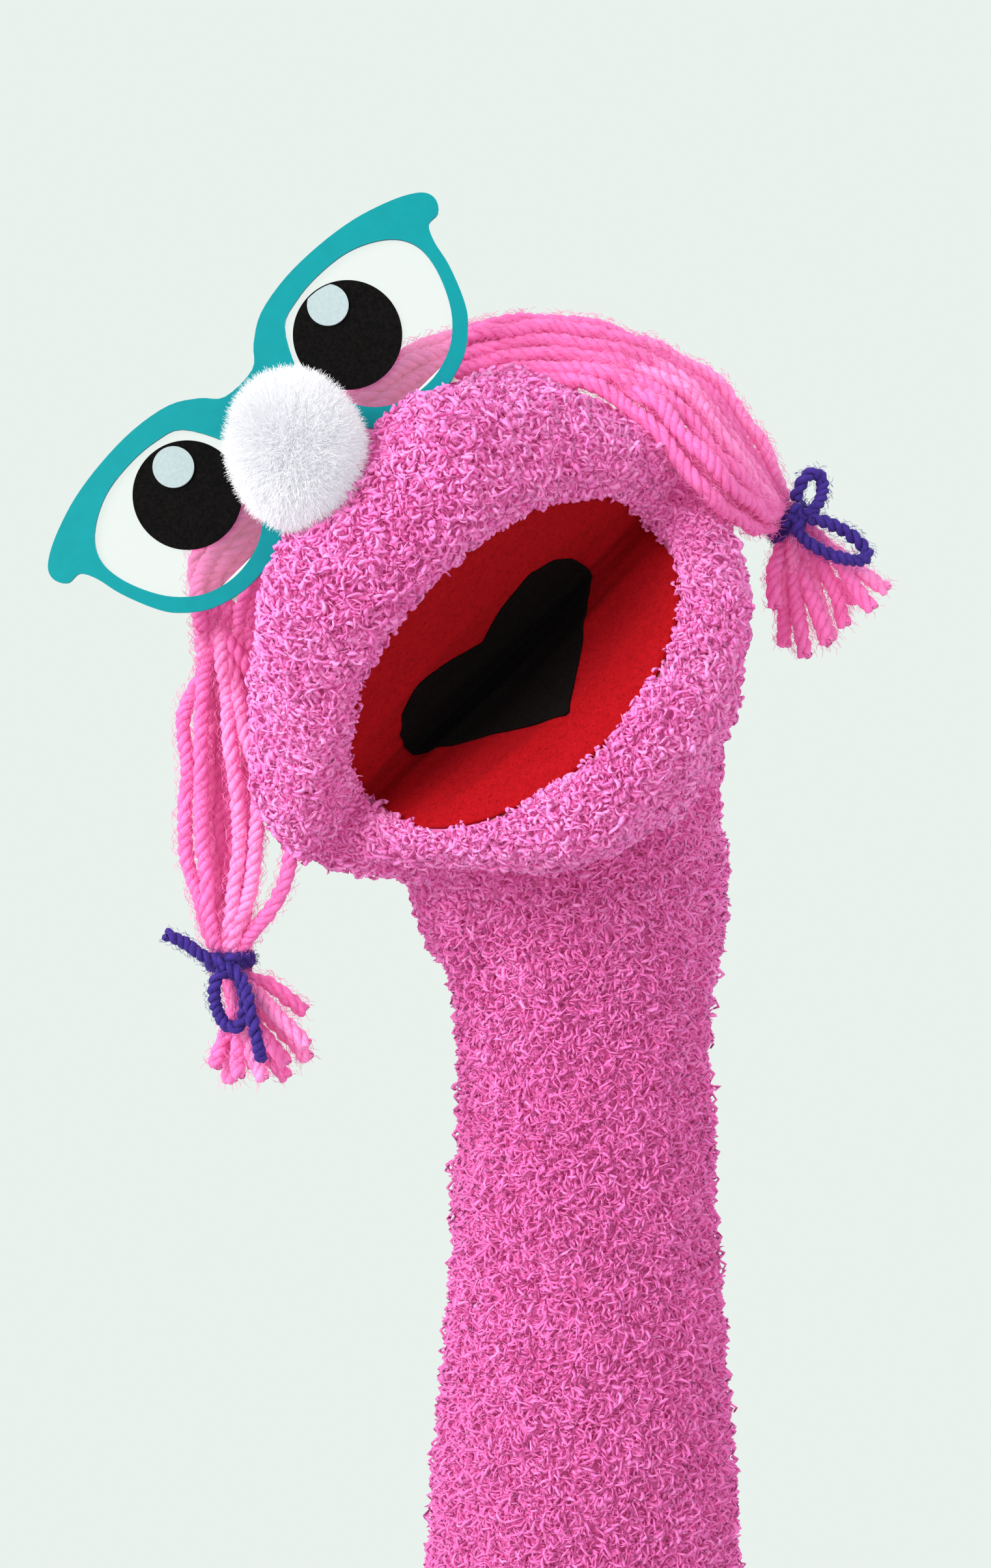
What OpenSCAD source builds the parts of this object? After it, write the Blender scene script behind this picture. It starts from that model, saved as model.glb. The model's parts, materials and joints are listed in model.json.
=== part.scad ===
// Sock puppet: a fuzzy sock worn on the arm, with a folding felt mouth, glasses, a pompom nose
// and two bunches of yarn hair. Millimetres, +Z up the arm, the face looks along -Y.
// The origin is the centre of the arm opening at the cuff's lower edge.

/* [Sleeve] */
// Height of the wrist centre above the cuff's lower edge
wrist_z = 292; // [270:1:310]
// Outer radius of the sleeve at the wrist
sleeve_r = 39; // [38:0.5:39]
// Outer radius of the sleeve where it is widest, above the cuff
sleeve_flare_r = 47; // [45:0.5:50]
// Height of the ribbed cuff
cuff_h = 38; // [30:1:45]
// Inner radius of the ribbed cuff
cuff_bore_r = 41; // [38:0.5:41]
// Thickness of the stretched fabric with its pile
fabric_t = 3.6; // [3.2:0.1:4]

/* [Head] */
// Sideways lean of the head at rest
head_roll = 45; // [40:1:48]
// Half the width of the mouth along its crease
mouth_half_w = 55; // [50:1:57]
// Depth of the mouth board from the crease to its edge
mouth_depth = 60; // [55:1:62]
// Rise of the upper palate above straight ahead
upper_angle = 25; // [23:1:28]
// Drop of the lower palate below straight ahead
lower_angle = 35; // [34:1:38]

/* [Face] */
// Diameter of the pompom nose
nose_d = 38; // [32:1:40]
// Half the width of the glasses across their corners
glasses_half_w = 70; // [66:1:72]
// Thickness of the glasses' plastic
glasses_t = 1.2; // [0.8:0.1:2]
// Diameter of a pupil disc
pupil_d = 28.5; // [24:0.5:29]
// Diameter of a highlight disc
highlight_d = 10.8; // [8:0.2:11]

/* [Hair] */
// Radius of the hank of yarn where it lies on the head
hank_r = 9; // [7:0.5:10]
// Radius of a bunch of yarn halfway to its tie
bunch_r = 8; // [6:0.5:9]
// Thickness of the purple yarn
tie_d = 4; // [3:0.1:4.4]

/* [Hidden] */

pink = [0.88, 0.42, 0.70];
hair_pink = [0.97, 0.50, 0.76];
purple = [0.26, 0.16, 0.56];
teal = [0, 0.70, 0.73];
glue_white = [0.93, 0.92, 0.88];
round_fn = 96;
hull_fn = 32;
yarn_fn = 20;

wrist = [0, 0, wrist_z];
crease = [-24, -60, wrist_z + 58];
gap = 0.5;
sleeve_top_r = sleeve_r + 1.5;
wrist_shell_t = 2;
wrist_shell_r = sleeve_top_r + gap + wrist_shell_t;
head_shell_r = wrist_shell_r + gap;
head_shell_t = 3;
tilt_range = [-15, 45];
nod_range = [-15, 15];
jaw_open = 12;
card_t = 1.2;
felt_t = 1.3;
heart_t = 1.2;
glue_t = 1.2;
glasses_y = -34;
lens_t = 0.4;
disc_t = 0.6;
tied_r = 6.4;
knot_r = 4.2;
knot_out = tied_r + tie_d + knot_r - 0.9;
loop_r = 4.4;

// Where the hair leaves the head, and where each bunch is tied
root_left = [-103, -56, 350];
tie_left = [-102, -52, 266];
root_right = [21, -48, 423];
tie_right = [57, -40, 391];

// A point seen from the head's own axes, which start at the crease and lean with the head
function to_head(p) = let (d = p - crease, c = cos(head_roll), s = sin(head_roll))
  [d.x * c + d.z * s, d.y, d.z * c - d.x * s];
wrist_in_head = to_head(wrist);
nose_at = [-2, glasses_y - glasses_t - nose_d / 2 - 0.6, 73.5];

// A smooth closed curve through a few points
function closed_curve(p, steps = 4) = let (n = len(p)) [for (i = [0 : n - 1], k = [0 : steps - 1])
  let (t = k / steps, a = p[(i + n - 1) % n], b = p[i], c = p[(i + 1) % n], d = p[(i + 2) % n])
  0.5 * ((2 * b) + (c - a) * t + (2 * a - 5 * b + 4 * c - d) * t * t
    + (3 * b - a - 3 * c + d) * t * t * t)];

module in_head() {
  translate(crease)
    rotate([0, -head_roll, 0])
      children();
}

module ball(p, r, fn = hull_fn) {
  translate(p)
    sphere(r = r, $fn = fn);
}

// A run of yarn or hair: a ball at each point, hulled in turn
module run(points, radii) {
  for (i = [0 : len(points) - 2])
    hull() {
      ball(points[i], radii[i], yarn_fn);
      ball(points[i + 1], radii[i + 1], yarn_fn);
    }
}

module ring(major, minor) {
  rotate_extrude($fn = 48)
    translate([major, 0])
      circle(r = minor, $fn = 20);
}

// ---- the sock ----

module sock_cuff() {
  rib_n = 36;
  rib_depth = 0.9;
  outer = cuff_bore_r + fabric_t + rib_depth;
  color(pink * 0.92)
    difference() {
      cylinder(r = outer, h = cuff_h, $fn = round_fn);
      translate([0, 0, -1])
        cylinder(r = cuff_bore_r, h = cuff_h + 2, $fn = round_fn);
      for (i = [0 : rib_n - 1])
        rotate([0, 0, i * 360 / rib_n])
          translate([outer + 0.6, 0, -1])
            cylinder(r = 1.5, h = cuff_h + 2, $fn = 24);
    }
}

// The sleeve ends in an open ball, so that the wrist section can turn on it.
module sock_sleeve() {
  ball_top = 28;
  steps = 6;
  in_r = sleeve_top_r - fabric_t;
  low = -acos(sleeve_r / sleeve_top_r);
  leg = [[cuff_bore_r + fabric_t, cuff_h], [sleeve_flare_r, cuff_h + 30],
    [sleeve_flare_r - 1, cuff_h + 60], [sleeve_r + 2, wrist_z - 120], [sleeve_r, wrist_z - 60]];
  outer = concat(leg, [for (i = [0 : steps]) let (a = low + (ball_top - low) * i / steps)
    [sleeve_top_r * cos(a), wrist_z + sleeve_top_r * sin(a)]]);
  inner = concat([for (i = [steps : -1 : 0]) let (a = low + (ball_top - low) * i / steps)
    [in_r * cos(a), wrist_z + in_r * sin(a)]],
    [for (i = [len(leg) - 1 : -1 : 0]) leg[i] - [fabric_t, 0]]);
  color(pink)
    rotate_extrude($fn = round_fn)
      polygon(concat(outer, inner));
}

// A ring of a spherical shell, between two elevations
module shell_ring(r_out, t, low, high) {
  steps = 8;
  rotate_extrude($fn = round_fn)
    polygon(concat(
      [for (i = [0 : steps]) let (a = low + (high - low) * i / steps) r_out * [cos(a), sin(a)]],
      [for (i = [steps : -1 : 0]) let (a = low + (high - low) * i / steps)
        (r_out - t) * [cos(a), sin(a)]]));
}

// The middle of the wrist's fold, which leans on the sleeve and carries the head's nod
module sock_wrist() {
  color(pink * 0.97)
    translate(wrist)
      rotate([0, -head_roll / 2, 0])
        shell_ring(wrist_shell_r, wrist_shell_t, 22, 40);
}

module cheeks(t) {
  for (x = [-50, 50])
    ball([x, 2, 5], 27 - t);
}

module crown(t) {
  for (x = [-36, 36])
    ball([x, -14, 34], 27 - t);
}

module snout(t) {
  for (s = [-1, 1]) {
    ball([s * 22, -46, 46], 19 - t);
    ball([s * 20, -53, 35], 12 - t);
    ball([s * 47, -27, 23], 14 - t);
  }
}

module back_of_hand(t) {
  ball([-4, 34, -4], 44 - t);
}

// The head as a solid, less t all round, with a ball of radius wrist_ball at the wrist
module head_bulk(t, wrist_ball) {
  hull() {
    cheeks(t);
    crown(t);
    back_of_hand(t);
  }
  hull() {
    cheeks(t);
    crown(t);
    snout(t);
  }
  hull() {
    back_of_hand(t);
    ball(wrist_in_head, wrist_ball);
  }
  hull() {
    cheeks(t);
    ball(wrist_in_head, wrist_ball);
  }
}

// The jaw as a solid, less t all round: chin, lip and jowls on each side, and the throat
module jaw_bulk(t) {
  for (s = [-1, 1]) {
    hull() {
      ball([s * 16, -39, -42], 14 - t);
      ball([s * 44, -18, -28], 14 - t);
      ball([s * 20, -16, -44], 16 - t);
      ball([6, 2, -46], 18 - t);
    }
    hull() {
      ball([s * 44, -18, -28], 14 - t);
      ball([s * 59, 4, -11], 16 - t);
      ball([s * 20, -16, -44], 16 - t);
      ball([6, 2, -46], 18 - t);
    }
  }
  hull()
    for (x = [-16, 16])
      ball([x, -39, -42], 14 - t);
}

// A wedge with its edge on the crease, from angle a to angle b: 0 is straight ahead and + is up
module crease_wedge(a, b) {
  steps = 6;
  reach = 150;
  width = 240;
  translate([-width / 2, 0, 0])
    rotate([90, 0, 90])
      linear_extrude(width)
        polygon(concat([[0, 0]], [for (i = [0 : steps]) let (c = a + (b - a) * i / steps)
          reach * [-cos(c), sin(c)]]));
}

// The space that the neck and the wrist's ball need as the head leans and nods
module neck_room() {
  length = 110;
  translate(wrist_in_head)
    for (nod = [nod_range[0] : 10 : nod_range[1]], tilt = [tilt_range[0] : 12 : tilt_range[1]])
      rotate([nod, 0, 0])
        rotate([0, head_roll - tilt, 0])
          translate([0, 0, -length])
            cylinder(r = sleeve_r + 3.5, h = length, $fn = 48);
  ball(wrist_in_head, head_shell_r, 64);
}

module sock_head() {
  color(pink)
    in_head()
      difference() {
        head_bulk(0, head_shell_r + head_shell_t);
        head_bulk(fabric_t, head_shell_r - 2);
        crease_wedge(upper_angle - 1, -lower_angle - 90);
        neck_room();
      }
}

// The thumb's way into the jaw from the palm
module thumb_way() {
  hull() {
    ball([4, -12, -44], 9);
    ball([4, 34, -38], 9);
  }
}

module sock_jaw() {
  color(pink)
    in_head()
      difference() {
        intersection() {
          jaw_bulk(0);
          crease_wedge(-lower_angle, -lower_angle - 75);
        }
        jaw_bulk(fabric_t);
        thumb_way();
        on_palate(-lower_angle, -0.1, heart_t + felt_t + card_t + 0.3)
          polygon(half_oval(mouth_half_w + 0.3, mouth_depth + 0.3, -5));
        for (open = [0, jaw_open / 2, jaw_open])
          rotate([-open, 0, 0])
            neck_room();
      }
}

// ---- the mouth ----

// Half an oval on the crease line, in the plane of the board
function half_oval(w, d, from) = [for (i = [0 : 32]) let (a = 180 * i / 32)
  [w * cos(a), max(from, d * sin(a))]];

// Lays a flat shape, drawn as (across, out from the crease), on a palate, lift behind its face
module on_palate(angle, lift, t) {
  rotate([-angle, 0, 0])
    translate([0, 0, angle > 0 ? lift : -lift - t])
      linear_extrude(t)
        mirror([0, 1])
          children();
}

module card(angle) {
  color([0.75, 0.70, 0.60])
    in_head()
      on_palate(angle, heart_t + felt_t, card_t)
        polygon(half_oval(mouth_half_w - 1, mouth_depth - 1, 5));
}

module felt(angle) {
  color([0.80, 0.04, 0.08])
    in_head()
      on_palate(angle, heart_t, felt_t)
        polygon(half_oval(mouth_half_w, mouth_depth, 1));
}

module mouth_card_upper() { card(upper_angle); }
module mouth_card_lower() { card(-lower_angle); }
module mouth_felt_upper() { felt(upper_angle); }
module mouth_felt_lower() { felt(-lower_angle); }

module heart_piece(angle) {
  color([0.06, 0.05, 0.06])
    in_head()
      on_palate(angle, 0.1, heart_t - 0.1)
        children();
}

// The heart's two lobes lie on the upper palate and its point on the lower one.
module heart_upper() {
  lobe = [[-34, 1], [-36.5, 8], [-35.5, 17], [-31, 24], [-22, 28], [-10, 25], [0, 19]];
  heart_piece(upper_angle)
    polygon(concat(lobe, [for (i = [len(lobe) - 2 : -1 : 0]) [-lobe[i].x, lobe[i].y]]));
}

module heart_lower() {
  side = [[-34, 1], [-26, 10], [-14.5, 22], [-4, 34]];
  heart_piece(-lower_angle)
    polygon(concat(side, [[0, 38]], [for (i = [len(side) - 1 : -1 : 0]) [-side[i].x, side[i].y]]));
}

// ---- the glasses, drawn flat as (across, up) and stood upright across the head ----

lens_up = 86;
// One half of the rim, from the bridge's top edge round the corner wing to its lower edge
rim_half = [[5, 99], [10, 103.5], [17, 107.8], [28, 109.8], [40, 109.6], [51, 108], [60, 105.2],
  [66, 102.4], [69.4, 99.6], [70, 96.4], [68, 93.6], [64.2, 93.2], [62, 89], [60.4, 82], [57, 73.4],
  [53.4, 68], [46.4, 62.6], [37, 60], [29, 60.2], [22, 62], [16, 66.5], [12, 73], [9, 81], [5, 88]];
rim_other_half = [for (i = [len(rim_half) - 1 : -1 : 0]) [-rim_half[i].x, rim_half[i].y]];
lens_hole = [[13.4, 91], [19, 101], [26, 103.6], [34, 104.3], [43, 103.4], [50, 100.7], [55.4, 96.6],
  [58, 91.5], [57.8, 85.5], [55.3, 78.3], [51.3, 71.8], [45.5, 66.8], [38.5, 64.4], [31.5, 64.4],
  [25, 66.4], [19.5, 70.8], [15.6, 77.6], [13.6, 85]];

function sized(points) = let (k = glasses_half_w / 70)
  [for (p = points) [p.x * k, lens_up + (p.y - lens_up) * k]];

module upright(y, t) {
  in_head()
    translate([0, y, 0])
      rotate([90, 0, 0])
        linear_extrude(t)
          children();
}

module glasses_frame() {
  color(teal)
    upright(glasses_y, glasses_t)
      difference() {
        polygon(closed_curve(sized(concat(rim_half, rim_other_half))));
        for (s = [0, 1])
          mirror([s, 0])
            polygon(closed_curve(sized(lens_hole)));
      }
}

// A film that is stuck to the back of the frame, a little larger than its hole
module lens(side) {
  overlap = 1.035;
  middle = [35, lens_up];
  color([0.9, 0.95, 0.96, 0.35])
    upright(glasses_y + lens_t, lens_t)
      mirror([side, 0])
        polygon([for (p = closed_curve(sized(lens_hole))) middle + (p - middle) * overlap]);
}

module lens_left() { lens(1); }
module lens_right() { lens(0); }

module pupil(x) {
  color([0.05, 0.04, 0.05])
    upright(glasses_y, disc_t)
      translate([x, 88])
        circle(d = pupil_d, $fn = 72);
}

module pupil_left() { pupil(-30); }
module pupil_right() { pupil(29); }

// The highlight is a pale disc that the pupil's edge cuts off.
module highlight(x, dx, dy) {
  color([0.86, 0.90, 0.92])
    upright(glasses_y - disc_t, disc_t)
      intersection() {
        translate([x + dx, 88 + dy])
          circle(d = highlight_d, $fn = 48);
        translate([x, 88])
          circle(d = pupil_d - 1, $fn = 72);
      }
}

module highlight_left() { highlight(-30, 2.6, 7.6); }
module highlight_right() { highlight(29, 1.8, 9); }

// ---- nose and glue ----

// The pompom is pressed on to its glue pad, which lies on the snout.
module nose_pompom() {
  color([0.95, 0.94, 0.97])
    in_head()
      difference() {
        ball(nose_at, nose_d / 2);
        head_bulk(-glue_t, head_shell_r);
      }
}

module nose_glue() {
  color(glue_white)
    in_head()
      difference() {
        intersection() {
          head_bulk(-glue_t, head_shell_r);
          translate([nose_at.x, nose_at.y + 3, 50])
            cylinder(r = 7, h = 20, $fn = 40);
        }
        head_bulk(0, head_shell_r);
      }
}

// Two glue pads behind the glasses, where the rims stand in the pile
module glasses_glue() {
  color(glue_white)
    in_head()
      difference() {
        for (x = [-34, 34])
          translate([x - 7, glasses_y + lens_t + 0.05, 56])
            cube([14, 4, 9]);
        head_bulk(0, head_shell_r);
      }
}

// ---- hair ----

hank_path = [[-40, -8, 69], [-16, -14, 72], [12, -15, 73], [40, -10, 70], [62, -2, 60], [78, 6, 43]];

// The yarn laid over the crown, behind the glasses, from one bunch's root to the other's
module hair_hank() {
  points = concat([to_head(root_left)], hank_path, [to_head(root_right)]);
  color(hair_pink)
    in_head()
      run(points, [for (p = points) hank_r]);
}

module hair_glue() {
  color(glue_white)
    in_head()
      difference() {
        translate([-7, -21, 50])
          cube([14, 12, 20]);
        head_bulk(0, head_shell_r);
        run(hank_path, [for (p = hank_path) hank_r]);
      }
}

// A bunch of yarn from just below its root to just above its tie
module bunch(root, tie, bow) {
  d = tie - root;
  n = norm(d);
  first = (hank_r + bunch_r + gap) / n;
  last = 1 - (tie_d + 2.5) / n;
  steps = 5;
  points = [for (i = [0 : steps]) let (t = first + (last - first) * i / steps)
    root + d * t + bow * sin(180 * i / steps)];
  color(hair_pink)
    run(points, [for (i = [0 : steps]) bunch_r + (tied_r - 1 - bunch_r) * i / steps]);
}

module pigtail_left() { bunch(root_left, tie_left, [-3, 0, 0]); }
module pigtail_right() { bunch(root_right, tie_right, [2, 0, 4]); }

// The loose ends below a tie: they start at the tie and spread to a fan of ends.
module tassel(tie, ends) {
  color(hair_pink)
    for (e = ends)
      run([tie + (e - tie) * 0.16, tie + (e - tie) * 0.5, e], [1.8, 3.2, 2.6]);
}

module tassel_left() {
  tassel(tie_left, [[-104, -56, 231], [-98, -47, 229], [-94, -60, 234], [-86, -52, 232], [-80, -57, 240]]);
}

module tassel_right() {
  tassel(tie_right, [[52, -44, 366], [58, -35, 355], [66, -47, 356], [74, -38, 361], [81, -43, 370]]);
}

// ---- ties ----

// Three turns of purple yarn round the bunch
module tie_wrap(tie, lean) {
  color(purple)
    translate(tie)
      rotate([0, lean, 0])
        ring(tied_r + tie_d / 2 - 1, tie_d / 2);
}

module tie_knot(tie) {
  color(purple)
    translate(tie)
      translate([0, -knot_out, 0])
        sphere(r = knot_r, $fn = 48);
}

module tie_wrap_left() { tie_wrap(tie_left, 0); }
module tie_wrap_right() { tie_wrap(tie_right, -45); }
module tie_knot_left() { tie_knot(tie_left); }
module tie_knot_right() { tie_knot(tie_right); }

module bow_loop(tie, dx, dz) {
  color(purple)
    translate(tie + [dx, -knot_out, dz])
      rotate([90, 0, 0])
        ring(loop_r, tie_d / 2);
}

module tail(points) {
  color(purple)
    run(points, [for (p = points) tie_d / 2]);
}

module tie_loop_left() { bow_loop(tie_left, 1, -knot_r - loop_r - tie_d / 2 - 0.2); }

module tie_tails_left() {
  knot = tie_left - [0, knot_out, 0];
  tail([knot + [-6.3, 0, 1], knot + [-11, 0, 4], [-118, -65, 274]]);
  tail([knot + [6.3, 0, -1], [-91.5, -68, 255], [-91, -67, 241]]);
}

module tie_loops_right() {
  knot = tie_right - [0, knot_out, 0];
  bow_loop(tie_right, 4.4, 10.2);
  tail([knot + [6.3, 0, 1.8], [79, -55, 388], [82.5, -55, 383.5], [79, -55, 380], knot + [6.2, 0, -4]]);
}

sock_cuff();
sock_sleeve();
sock_wrist();
sock_head();
sock_jaw();
mouth_card_upper();
mouth_card_lower();
mouth_felt_upper();
mouth_felt_lower();
heart_upper();
heart_lower();
glasses_frame();
lens_left();
lens_right();
pupil_left();
pupil_right();
highlight_left();
highlight_right();
glasses_glue();
nose_pompom();
nose_glue();
hair_hank();
hair_glue();
pigtail_left();
tassel_left();
tie_wrap_left();
tie_knot_left();
tie_loop_left();
tie_tails_left();
pigtail_right();
tassel_right();
tie_wrap_right();
tie_knot_right();
tie_loops_right();
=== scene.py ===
"""The sock puppet's looks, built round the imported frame. Lengths are millimetres until a mesh is made."""

import json
import math

import bmesh
import bpy
import numpy as np
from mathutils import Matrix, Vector


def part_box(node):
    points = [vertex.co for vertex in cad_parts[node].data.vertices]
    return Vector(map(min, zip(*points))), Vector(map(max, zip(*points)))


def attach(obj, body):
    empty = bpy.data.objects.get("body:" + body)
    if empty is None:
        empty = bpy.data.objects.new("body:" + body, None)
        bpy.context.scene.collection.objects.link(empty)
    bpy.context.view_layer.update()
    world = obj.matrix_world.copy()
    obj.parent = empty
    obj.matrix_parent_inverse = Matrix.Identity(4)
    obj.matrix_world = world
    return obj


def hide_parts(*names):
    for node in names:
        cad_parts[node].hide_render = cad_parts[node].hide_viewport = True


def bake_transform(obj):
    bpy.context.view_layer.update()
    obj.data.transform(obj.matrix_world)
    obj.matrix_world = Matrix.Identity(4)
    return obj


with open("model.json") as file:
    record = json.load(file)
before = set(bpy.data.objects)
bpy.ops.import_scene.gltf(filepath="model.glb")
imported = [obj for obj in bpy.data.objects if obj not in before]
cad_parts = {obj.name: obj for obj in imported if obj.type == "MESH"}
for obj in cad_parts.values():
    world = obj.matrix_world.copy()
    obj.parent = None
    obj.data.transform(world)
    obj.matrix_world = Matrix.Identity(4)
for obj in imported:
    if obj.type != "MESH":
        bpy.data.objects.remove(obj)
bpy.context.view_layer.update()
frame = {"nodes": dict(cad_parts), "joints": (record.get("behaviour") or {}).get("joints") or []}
MM = 0.001

# ---- places, from the frame ----

PIVOTS = {j["name"]: np.array(j["pos_m"]) / MM for j in frame["joints"]}
WRIST = PIVOTS["wrist_tilt"]
CREASE = PIVOTS["jaw_hinge"]
ROOT_LEFT = PIVOTS["pigtail_left_swing"]
ROOT_RIGHT = PIVOTS["pigtail_right_swing"]
FRONT = np.array([0, -1.0, 0])
HEAD_ROLL = math.radians(45)
ROLL_COS, ROLL_SIN = math.cos(HEAD_ROLL), math.sin(HEAD_ROLL)
UPPER_ANGLE = math.radians(25)
LOWER_ANGLE = math.radians(-35)
HALF_LEAN = np.array([-math.sin(HEAD_ROLL / 2), 0, math.cos(HEAD_ROLL / 2)])
CUFF_H = 38


def middle_of(node):
    low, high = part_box(node)
    return (np.array(low) + np.array(high)) / 2 / MM


TIE_LEFT = middle_of("tie_wrap_left")
TIE_RIGHT = middle_of("tie_wrap_right")
POMPOM_R = 19
pompom_low, pompom_high = (np.array(corner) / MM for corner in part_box("nose_pompom"))
NOSE = np.array([pompom_low[0], pompom_low[1], pompom_high[2]]) + np.array([1, 1, -1]) * POMPOM_R


def from_head(points):
    """Points seen from the head's own axes, which start at the crease, in the frame's axes."""
    x, y, z = np.atleast_2d(np.asarray(points, float)).T
    return CREASE + np.column_stack([ROLL_COS * x - ROLL_SIN * z, y, ROLL_SIN * x + ROLL_COS * z])


def to_head(points):
    """The reverse of from_head."""
    x, y, z = (np.atleast_2d(np.asarray(points, float)) - CREASE).T
    return np.column_stack([ROLL_COS * x + ROLL_SIN * z, y, ROLL_COS * z - ROLL_SIN * x])


# ---- shader nodes ----


def set_sockets(node, **values):
    """Sets a node's inputs by name, with _ for a space."""
    for key, value in values.items():
        node.inputs[key.replace("_", " ")].default_value = value
    return node


def add_node(mat, kind, **values):
    return set_sockets(mat.node_tree.nodes.new("ShaderNode" + kind), **values)


def shader_of(mat):
    return mat.node_tree.nodes["Principled BSDF"]


def new_material(name, colour, roughness, **values):
    mat = bpy.data.materials.new(name)
    mat.use_nodes = True
    set_sockets(shader_of(mat), Base_Color=(*colour, 1), Roughness=roughness, **values)
    return mat


# ---- camera, light and floor ----


def linked(name, data):
    """A new object in the scene, of a mesh, a light or a camera."""
    obj = bpy.data.objects.new(name, data)
    bpy.context.scene.collection.objects.link(obj)
    return obj


def add_camera():
    data = bpy.data.cameras.new("camera")
    data.lens = 46.35
    data.sensor_width = 36
    data.clip_start = 0.01
    cam = linked("camera", data)
    cam.location = Vector((-27.2, -620, 315.8)) * MM
    cam.rotation_euler = (math.radians(90), 0, 0)
    bpy.context.scene.camera = cam


def add_light(name, place, size, power, colour=(1, 1, 1)):
    data = bpy.data.lights.new(name, "AREA")
    data.shape = "DISK"
    data.size = size
    data.energy = power
    data.color = colour
    light = linked(name, data)
    light.location = place
    aim = Vector((-0.02, 0, 0.33)) - Vector(place)
    light.rotation_euler = aim.to_track_quat("-Z", "Y").to_euler()


BACKDROP = (0.82, 0.885, 0.85, 1)


def add_world():
    world = bpy.data.worlds.new("studio")
    bpy.context.scene.world = world
    world.use_nodes = True
    set_sockets(world.node_tree.nodes["Background"], Color=BACKDROP, Strength=1.0)


def add_floor():
    """A pale floor that fades into the backdrop's colour away from the object."""
    mat = new_material("floor", (0.46, 0.50, 0.48), 0.9)
    link = mat.node_tree.links.new
    glow = add_node(mat, "Emission", Color=BACKDROP)
    place = add_node(mat, "TexCoord")
    reach = add_node(mat, "VectorMath")
    reach.operation = "LENGTH"
    link(place.outputs["Object"], reach.inputs[0])
    fade = add_node(mat, "MapRange", From_Min=0.07, From_Max=0.21)
    fade.interpolation_type = "SMOOTHSTEP"
    link(reach.outputs["Value"], fade.inputs["Value"])
    mix = add_node(mat, "MixShader")
    link(fade.outputs["Result"], mix.inputs["Fac"])
    link(shader_of(mat).outputs["BSDF"], mix.inputs[1])
    link(glow.outputs["Emission"], mix.inputs[2])
    link(mix.outputs["Shader"], mat.node_tree.nodes["Material Output"].inputs["Surface"])
    bpy.ops.mesh.primitive_circle_add(vertices=96, radius=6, fill_type="NGON")
    floor = bpy.context.object
    floor.name = "floor"
    floor.data.materials.append(mat)


bpy.context.scene.view_settings.view_transform = "Standard"
add_camera()
add_world()
add_floor()
add_light("key", (-1.0, -1.0, 0.9), 0.9, 27, (1, 0.985, 0.96))
add_light("fill", (0.75, -1.05, 0.35), 1.0, 2.4, (0.96, 0.98, 1))
add_light("back", (0.35, 0.95, 0.95), 0.7, 12)

# ---- materials ----


def texture(mat, kind, scale, **sockets):
    """A procedural texture's value, in the object's own coordinates, in which one unit is a metre."""
    place = mat.node_tree.nodes.get("Texture Coordinate") or add_node(mat, "TexCoord")
    node = add_node(mat, "Tex" + kind, Scale=scale, **sockets)
    mat.node_tree.links.new(place.outputs["Object"], node.inputs["Vector"])
    return node.outputs[0]


def ramp(mat, source, stops, target):
    """Sends a texture's value through a colour ramp to one of the shader's sockets."""
    links = mat.node_tree.links
    node = add_node(mat, "ValToRGB")
    band = node.color_ramp
    while len(band.elements) < len(stops):
        band.elements.new(0.5)
    for element, (at, colour) in zip(band.elements, stops):
        element.position = at
        element.color = (*colour, 1)
    links.new(source, node.inputs["Fac"])
    links.new(node.outputs["Color"], shader_of(mat).inputs[target])


def bump(mat, height, strength, distance_mm):
    node = add_node(mat, "Bump", Strength=strength, Distance=distance_mm * MM)
    mat.node_tree.links.new(height, node.inputs["Height"])
    mat.node_tree.links.new(node.outputs["Normal"], shader_of(mat).inputs["Normal"])


def grey(value):
    return (value, value, value)


def fibre_shades(name, colours, roughness, grain, **sockets):
    """Slots of nearly the same fibre, each a shade of its own, with fine grain along it."""
    mats = []
    for i, colour in enumerate(colours):
        mat = new_material(f"{name}_{i + 1}", colour, roughness, **sockets)
        noise = texture(mat, "Noise", grain, Detail=3)
        ramp(mat, noise, [(0.3, grey(roughness - 0.12)), (0.7, grey(roughness + 0.1))], "Roughness")
        bump(mat, noise, 0.5, 0.3)
        mats.append(mat)
    return mats


def skin_material(name, deep, light, scale):
    """The knit under the pile: a noise ramp from deep to light pink."""
    mat = new_material(name, deep, 0.9, Sheen_Weight=0.15, Sheen_Tint=(1.0, 0.45, 0.75, 1))
    noise = texture(mat, "Noise", scale, Detail=6)
    ramp(mat, noise, [(0.35, deep), (0.65, light)], "Base Color")
    cells = texture(mat, "Voronoi", scale * 2.2)
    bump(mat, cells, 0.9, 1.2)
    return mat


def felt_material(name, dark, light, sheen, sheen_tint):
    """Matted fibres: fine speckle with a soft nap."""
    mat = new_material(name, dark, 0.95, Sheen_Weight=sheen, Sheen_Tint=(*sheen_tint, 1),
                       Specular_IOR_Level=0.1)
    noise = texture(mat, "Noise", 900, Detail=8, Roughness=0.7, Distortion=1.5)
    ramp(mat, noise, [(0.35, dark), (0.62, light)], "Base Color")
    bump(mat, noise, 0.7, 0.35)
    return mat


def plastic_material():
    """Turquoise sheet that lets a little light through, with a faint moulded ripple."""
    mat = new_material("turquoise_plastic", (0.0, 0.235, 0.265), 0.5, Transmission_Weight=0.08, IOR=1.47,
                       Specular_IOR_Level=0.1)
    ripple = texture(mat, "Noise", 220, Detail=2)
    ramp(mat, ripple, [(0.3, (0.0, 0.23, 0.26)), (0.7, (0.0, 0.25, 0.28))], "Base Color")
    bump(mat, ripple, 0.08, 0.3)
    return mat


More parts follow.
